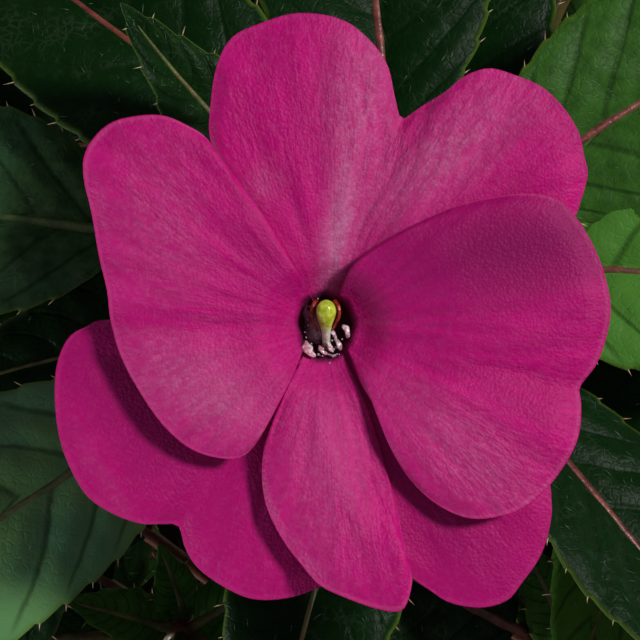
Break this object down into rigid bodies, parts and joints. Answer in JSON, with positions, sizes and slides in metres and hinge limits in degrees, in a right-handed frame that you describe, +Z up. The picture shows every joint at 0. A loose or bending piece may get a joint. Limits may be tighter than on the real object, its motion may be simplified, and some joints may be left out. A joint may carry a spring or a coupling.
{
  "type": "potted new guinea impatiens",
  "caption": "New Guinea impatiens in flower in a plain round nursery pot: magenta blooms over whorls of dark green toothed leaves.",
  "frame": {"origin": "centre of the pot's flat underside, on the ground", "axes": "+Z up; the main flower leans towards -Y, the side from which the picture looks down on it; +X to the right of that view"},
  "size_m": [0.233, 0.238, 0.2445],
  "materials": {
    "pot": "matt moulded plastic in terracotta brown",
    "soil": "loose damp potting soil with a few white perlite grains",
    "foliage": "dark green, slightly glossy living leaf with dark red midribs and stalks",
    "petal": "velvety magenta petal with a fine sparkle",
    "column": "smooth yellow-green, waxy"
  },
  "bodies": {
    "root": {"pot": "pot", "soil": "soil", "shoot_centre": "foliage", "shoot_1": "foliage", "shoot_2": "foliage", "shoot_3": "foliage", "shoot_4": "foliage", "shoot_5": "foliage", "shoot_6": "foliage", "flower_main": "petal", "column_main": "column", "flower_1": "petal", "column_1": "column", "flower_2": "petal", "column_2": "column", "flower_3": "petal", "column_3": "column", "flower_4": "petal", "column_4": "column", "bud_1": "petal", "bud_2": "petal", "bud_3": "petal"}
  },
  "joints": []
}
